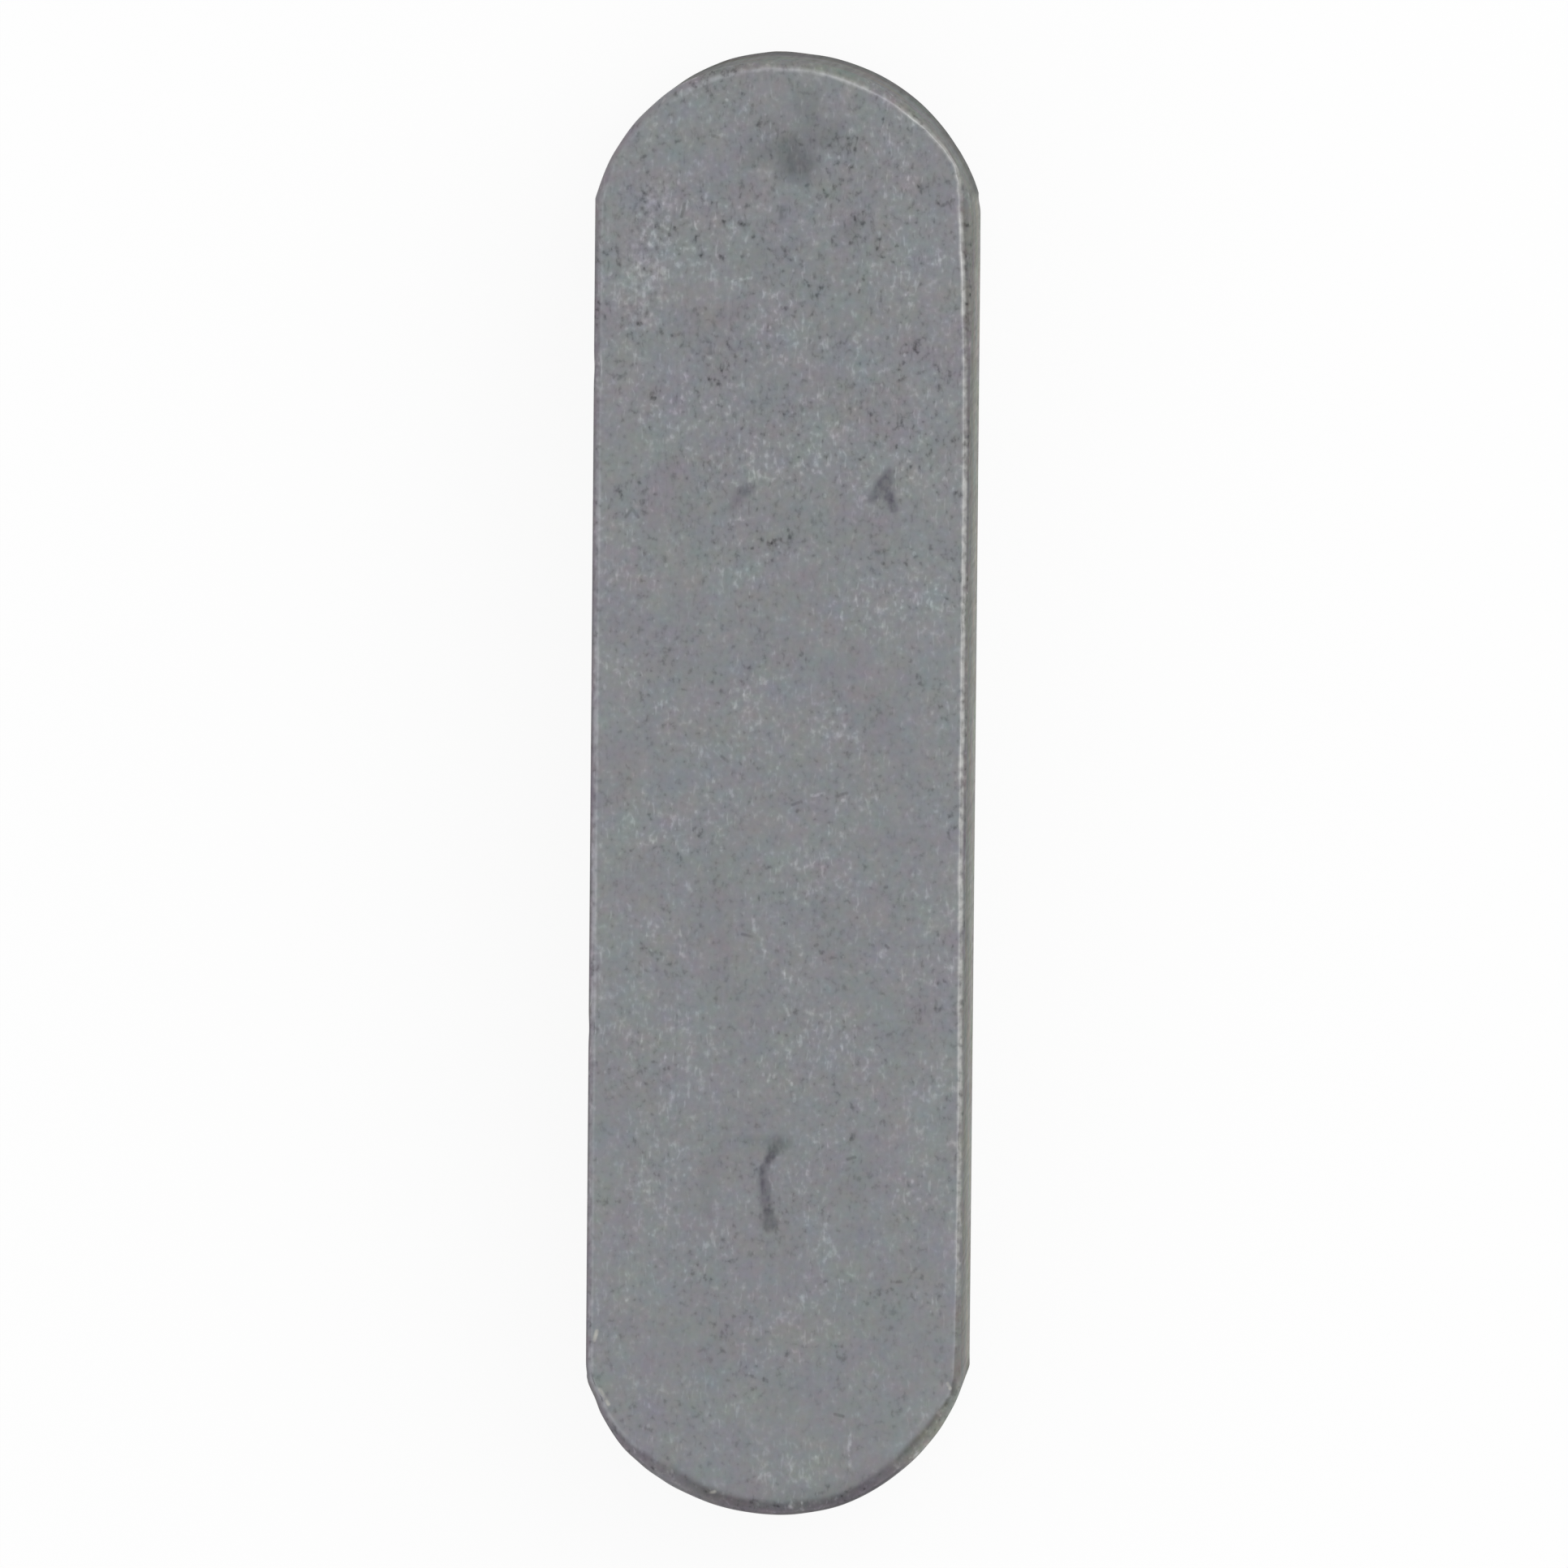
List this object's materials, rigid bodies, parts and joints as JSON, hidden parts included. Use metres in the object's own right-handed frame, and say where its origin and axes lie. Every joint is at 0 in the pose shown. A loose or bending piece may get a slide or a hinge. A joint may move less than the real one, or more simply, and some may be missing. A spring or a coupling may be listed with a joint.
{
  "type": "parallel key",
  "caption": "Plain steel parallel key with round ends, chamfered long edges and a tumbled grey finish, for locking a hub to a shaft.",
  "frame": {"origin": "middle of the wide face that the key lies on", "axes": "+Z through the thickness, from the wide face that it lies on to the other; +Y along the length, towards the end with crisp edges; +X across, from flank to flank"},
  "size_m": [0.018, 0.07, 0.011],
  "materials": {
    "tumbled_steel": "tumbled, dull grey"
  },
  "bodies": {
    "root": {"parallel_key": "tumbled_steel"}
  },
  "joints": []
}
